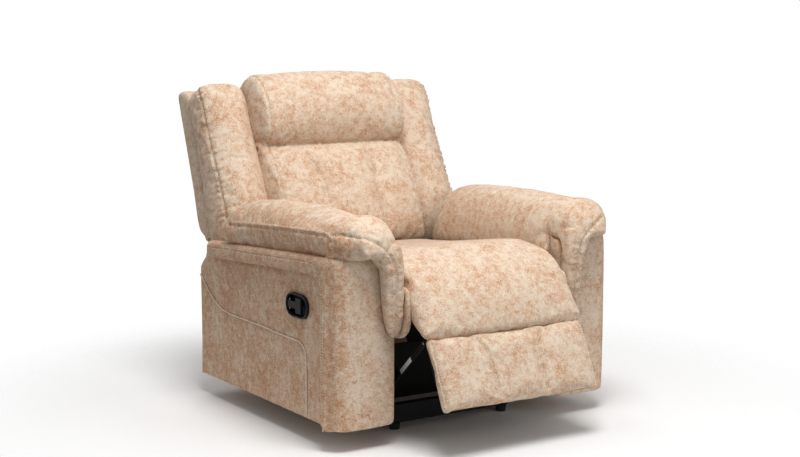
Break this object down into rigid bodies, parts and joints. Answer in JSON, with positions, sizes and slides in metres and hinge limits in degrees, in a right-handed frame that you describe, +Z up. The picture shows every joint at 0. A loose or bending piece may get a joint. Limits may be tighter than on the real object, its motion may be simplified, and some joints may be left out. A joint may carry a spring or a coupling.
{
  "type": "recliner armchair",
  "caption": "Manual recliner armchair in mottled suede-like fabric: padded arms, winged back that reclines, folding footrest on a steel linkage, recessed release lever.",
  "frame": {"origin": "on the floor under the middle of the chair's box, footrest as in the rest pose", "axes": "+Z up, the chair faces -Y, the sitter's left arm is on +X"},
  "size_m": [0.976, 1.3612, 1.024],
  "materials": {
    "suede_fabric": "mottled brushed microfibre",
    "black_steel": "satin black",
    "bright_steel": "zinc plated",
    "black_plastic": "fine grain",
    "foot_rubber": "matte",
    "plywood": "raw"
  },
  "bodies": {
    "base": {"base_rail_right": "black_steel", "base_rail_left": "black_steel", "base_rail_front": "black_steel", "base_rail_rear": "black_steel", "foot_front_right": "foot_rubber", "foot_front_left": "foot_rubber", "foot_rear_right": "foot_rubber", "foot_rear_left": "foot_rubber", "cross_board_rear": "plywood", "arm_core_right": "plywood", "side_panel_right": "suede_fabric", "arm_surround_right": "suede_fabric", "arm_pad_right": "suede_fabric", "arm_core_left": "plywood", "side_panel_left": "suede_fabric", "arm_surround_left": "suede_fabric", "arm_pad_left": "suede_fabric", "lever_bezel": "black_plastic", "lever_pin": "bright_steel", "release_cable": "black_plastic"},
    "seat": {"seat_rail_right": "plywood", "seat_rail_left": "plywood", "seat_rail_front": "black_steel", "seat_rail_rear": "black_steel", "seat_spring_1": "bright_steel", "seat_spring_2": "bright_steel", "seat_spring_3": "bright_steel", "seat_cushion": "suede_fabric", "seat_border_right": "suede_fabric", "seat_border_left": "suede_fabric", "side_plate_right": "black_steel", "side_plate_left": "black_steel", "chaise_shaft": "bright_steel", "back_hinge_pin_right": "bright_steel", "back_hinge_pin_left": "bright_steel"},
    "chaise": {"chaise_pad": "suede_fabric"},
    "rear_links": {"rear_link_right": "black_steel", "rear_link_left": "black_steel", "torque_tube": "black_steel"},
    "front_links": {"front_link_right": "black_steel", "front_link_left": "black_steel"},
    "carriers": {"carrier_plate_right": "black_steel", "carrier_plate_left": "black_steel", "footrest_shaft": "bright_steel"},
    "footrest": {"footrest_board": "plywood", "footrest_pad": "suede_fabric", "footrest_bracket_right": "black_steel", "footrest_bracket_left": "black_steel"},
    "back": {"back_post_right": "plywood", "back_post_left": "plywood", "back_rail_top": "plywood", "back_rail_bottom": "plywood", "back_panel": "suede_fabric", "wing_right": "suede_fabric", "wing_left": "suede_fabric", "headrest_cushion": "suede_fabric", "lumbar_cushion": "suede_fabric", "back_bracket_right": "black_steel", "back_bracket_left": "black_steel"},
    "lever": {"release_lever": "black_plastic"}
  },
  "joints": [
    {"name": "back_recline", "type": "hinge", "parent": "seat", "child": "back", "pos_m": [0, 0.2402, 0.4], "axis": [-1, 0, 0], "range_deg": [0, 35]},
    {"name": "seat_glide", "type": "slide", "parent": "base", "child": "seat", "axis": [0, -1, 0], "range_m": [0, 0.0451]},
    {"name": "footrest_extend", "type": "hinge", "parent": "seat", "child": "rear_links", "pos_m": [0, -0.2358, 0.315], "axis": [-1, 0, 0], "range_deg": [-20, 50]},
    {"name": "front_link_turn", "type": "hinge", "parent": "seat", "child": "front_links", "pos_m": [0, -0.2878, 0.362], "axis": [-1, 0, 0], "range_deg": [-20, 50]},
    {"name": "carrier_turn", "type": "hinge", "parent": "rear_links", "child": "carriers", "pos_m": [0, -0.36693, 0.14411], "axis": [-1, 0, 0], "range_deg": [-50, 20]},
    {"name": "chaise_fold", "type": "hinge", "parent": "seat", "child": "chaise", "pos_m": [0, -0.4148, 0.475], "axis": [-1, 0, 0], "range_deg": [-20, 50]},
    {"name": "footrest_fold", "type": "hinge", "parent": "carriers", "child": "footrest", "pos_m": [0, -0.54593, 0.30411], "axis": [-1, 0, 0], "range_deg": [-21.1, 52.6]},
    {"name": "release_lever_pull", "type": "hinge", "parent": "base", "child": "lever", "pos_m": [-0.477, -0.1958, 0.385], "axis": [0, 0, -1], "range_deg": [0, 40], "stiffness_Nm_per_rad": 0.3}
  ],
  "couplings": [
    {"joint": "seat_glide", "follows": "back_recline", "m_per_rad": 0.0737},
    {"joint": "front_link_turn", "follows": "footrest_extend", "ratio": 1},
    {"joint": "carrier_turn", "follows": "footrest_extend", "ratio": -1},
    {"joint": "chaise_fold", "follows": "footrest_extend", "ratio": 1},
    {"joint": "footrest_fold", "follows": "footrest_extend", "ratio": 1.05}
  ]
}
